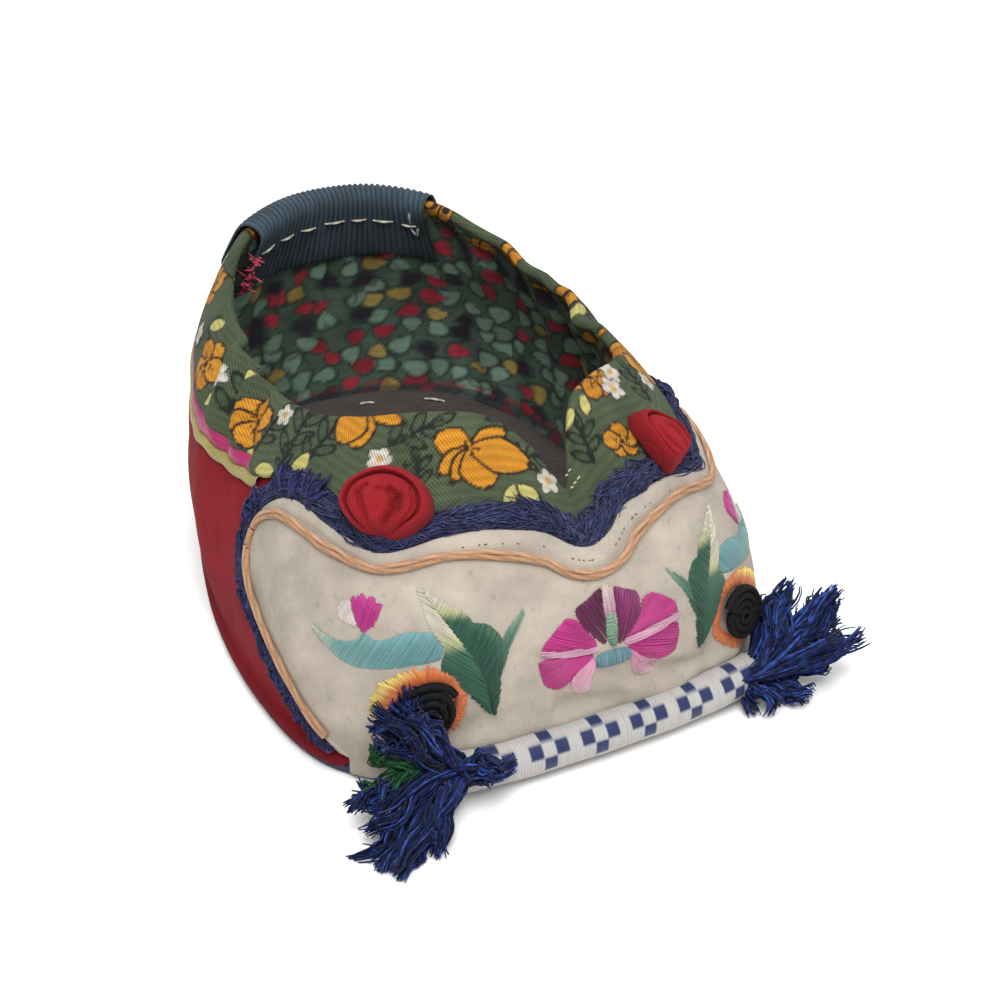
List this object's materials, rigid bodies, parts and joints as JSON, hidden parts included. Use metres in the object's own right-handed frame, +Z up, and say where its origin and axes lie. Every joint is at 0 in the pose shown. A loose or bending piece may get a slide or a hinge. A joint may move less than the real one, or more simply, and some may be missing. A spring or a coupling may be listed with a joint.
{
  "type": "child's embroidered cloth shoe",
  "caption": "Child's cloth slip-on shoe with a hollow upper, flat sole, printed collar, embroidered face panel on the toe, red rosettes, a wrapped toe roll and yarn tassels.",
  "frame": {"origin": "a point on the flat underside of the forefoot, on the shoe's middle line", "axes": "toe towards -Y, heel towards +Y, +Z up from the floor, +X to the wearer's left"},
  "size_m": [0.0938, 0.1354, 0.0608],
  "materials": {
    "outsole": "quilted cloth, matte",
    "upper": "plain woven cotton, matte",
    "insole": "woven cotton, matte",
    "collar": "printed cotton twill, matte",
    "heel_tab": "fine-wale corduroy, matte",
    "back_strip": "fine-wale corduroy, matte",
    "vamp_panel": "cream cotton with satin-stitch embroidery, matte",
    "fringe": "laid cotton yarn, matte",
    "vamp_cord": "twisted silk cord, soft sheen",
    "ribbon_pink_left": "woven ribbon, soft sheen",
    "ribbon_pink_right": "woven ribbon, soft sheen",
    "ribbon_yellow_left": "folded cotton, matte",
    "ribbon_yellow_right": "folded cotton, matte",
    "rosette_left": "rolled cotton, matte",
    "rosette_right": "rolled cotton, matte",
    "eye_left": "coiled cord, soft sheen",
    "eye_right": "coiled cord, soft sheen",
    "toe_roll": "thread-wrapped cotton roll, soft sheen",
    "tassel_left": "cotton yarn, matte",
    "tassel_right": "cotton yarn, matte"
  },
  "bodies": {
    "root": {"outsole": "outsole", "upper": "upper", "insole": "insole", "collar": "collar", "heel_tab": "heel_tab", "back_strip": "back_strip", "vamp_panel": "vamp_panel", "fringe": "fringe", "vamp_cord": "vamp_cord", "ribbon_pink_left": "ribbon_pink_left", "ribbon_pink_right": "ribbon_pink_right", "ribbon_yellow_left": "ribbon_yellow_left", "ribbon_yellow_right": "ribbon_yellow_right", "rosette_left": "rosette_left", "rosette_right": "rosette_right", "eye_left": "eye_left", "eye_right": "eye_right", "toe_roll": "toe_roll", "tassel_left": "tassel_left", "tassel_right": "tassel_right"}
  },
  "joints": []
}
